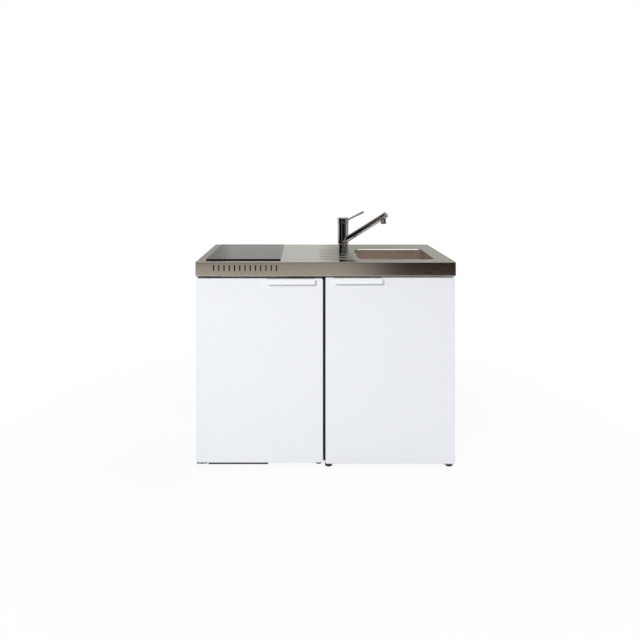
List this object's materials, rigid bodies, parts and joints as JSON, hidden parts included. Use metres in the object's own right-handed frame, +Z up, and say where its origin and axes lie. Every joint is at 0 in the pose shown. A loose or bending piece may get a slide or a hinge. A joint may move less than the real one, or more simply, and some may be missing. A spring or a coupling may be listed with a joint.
{
  "type": "kitchenette unit",
  "caption": "Compact kitchenette: fridge and cupboard with white doors under a folded stainless worktop with glass hob, drainer, sink bowl and single-lever tap.",
  "frame": {"origin": "on the floor, under the middle of the worktop's width and depth", "axes": "+X to the right along the front, +Y to the wall behind, +Z up"},
  "size_m": [1.1, 0.6, 1.0685],
  "materials": {
    "stainless": "satin",
    "chrome": "polished",
    "galvanised": "satin",
    "black_glass": "polished",
    "heater": "matte",
    "white_steel": "satin",
    "white_plastic": "satin",
    "handle_white": "gloss",
    "grey_plastic": "matte",
    "dark_plastic": "matte",
    "black_steel": "satin",
    "shelf_glass": "gloss",
    "clear_plastic": "gloss",
    "aluminium": "satin",
    "foam": "matte",
    "gasket": "matte",
    "melamine": "satin"
  },
  "bodies": {
    "carcass": {"worktop": "stainless", "sink_bowl": "stainless", "strainer_cup": "chrome", "overflow_cover": "chrome", "overflow_pipe": "white_plastic", "trap_body": "white_plastic", "trap_cup": "white_plastic", "waste_pipe": "white_plastic", "hob_glass": "black_glass", "hob_casing": "black_steel", "heater_front": "heater", "heater_rear": "heater", "hob_control": "grey_plastic", "tap_body": "chrome", "tap_nut": "galvanised", "tap_cartridge": "grey_plastic", "fridge_case": "white_steel", "fridge_foam": "foam", "fridge_liner": "white_plastic", "fridge_shelf_upper": "shelf_glass", "fridge_shelf_lower": "shelf_glass", "evaporator_box": "aluminium", "thermostat_housing": "white_plastic", "fridge_base_plate": "galvanised", "compressor": "black_steel", "condenser_coil": "black_steel", "fridge_plinth": "dark_plastic", "fridge_foot_front_left": "dark_plastic", "fridge_foot_front_right": "dark_plastic", "fridge_foot_rear_left": "dark_plastic", "fridge_foot_rear_right": "dark_plastic", "fridge_hinge_top": "galvanised", "fridge_hinge_bottom": "galvanised", "cupboard_case": "white_steel", "cupboard_shelf": "melamine", "cupboard_hinge_top": "galvanised", "cupboard_hinge_bottom": "galvanised", "cupboard_catch": "dark_plastic", "cupboard_foot_front_left": "dark_plastic", "cupboard_foot_front_right": "dark_plastic", "cupboard_foot_rear_left": "dark_plastic", "cupboard_foot_rear_right": "dark_plastic"},
    "fridge_door": {"fridge_door_skin": "white_steel", "fridge_door_foam": "foam", "fridge_door_liner": "white_plastic", "fridge_gasket": "gasket", "door_rack_upper": "clear_plastic", "door_rack_lower": "clear_plastic", "fridge_handle": "handle_white"},
    "cupboard_door": {"cupboard_door_skin": "white_steel", "cupboard_door_core": "melamine", "cupboard_handle": "handle_white"},
    "spout": {"tap_spout": "chrome", "tap_aerator": "chrome"},
    "cap": {"tap_cap": "chrome"},
    "lever": {"tap_lever": "chrome"},
    "basket": {"strainer_basket": "chrome"},
    "flap": {"freezer_flap": "white_plastic"},
    "crisper": {"crisper_drawer": "clear_plastic"},
    "knob": {"thermostat_knob": "grey_plastic"}
  },
  "joints": [
    {"name": "fridge_door_hinge", "type": "hinge", "parent": "carcass", "child": "fridge_door", "pos_m": [-0.536, -0.261, 0.41], "axis": [0, 0, -1], "range_deg": [0, 110]},
    {"name": "cupboard_door_hinge", "type": "hinge", "parent": "carcass", "child": "cupboard_door", "pos_m": [0.5393, -0.27, 0.41], "axis": [0, 0, 1], "range_deg": [0, 110]},
    {"name": "spout_swivel", "type": "hinge", "parent": "carcass", "child": "spout", "pos_m": [0.102, 0.142, 0.95], "axis": [0, 0, 1], "range_deg": [-80, 60]},
    {"name": "cap_turn", "type": "hinge", "parent": "carcass", "child": "cap", "pos_m": [0.102, 0.142, 1.02], "axis": [0, 0, 1], "range_deg": [-45, 45]},
    {"name": "lever_lift", "type": "hinge", "parent": "cap", "child": "lever", "pos_m": [0.116, 0.142, 1.0175], "axis": [0, -1, 0], "range_deg": [0, 25]},
    {"name": "basket_lift", "type": "slide", "parent": "carcass", "child": "basket", "axis": [0, 0, 1], "range_m": [0, 0.042]},
    {"name": "flap_hinge", "type": "hinge", "parent": "carcass", "child": "flap", "pos_m": [-0.278, -0.102, 0.653], "axis": [1, 0, 0], "range_deg": [0, 88]},
    {"name": "crisper_slide", "type": "slide", "parent": "carcass", "child": "crisper", "axis": [0, -1, 0], "range_m": [0, 0.045]},
    {"name": "thermostat_turn", "type": "hinge", "parent": "carcass", "child": "knob", "pos_m": [-0.098, -0.01, 0.588], "axis": [-1, 0, 0], "range_deg": [0, 270]}
  ]
}
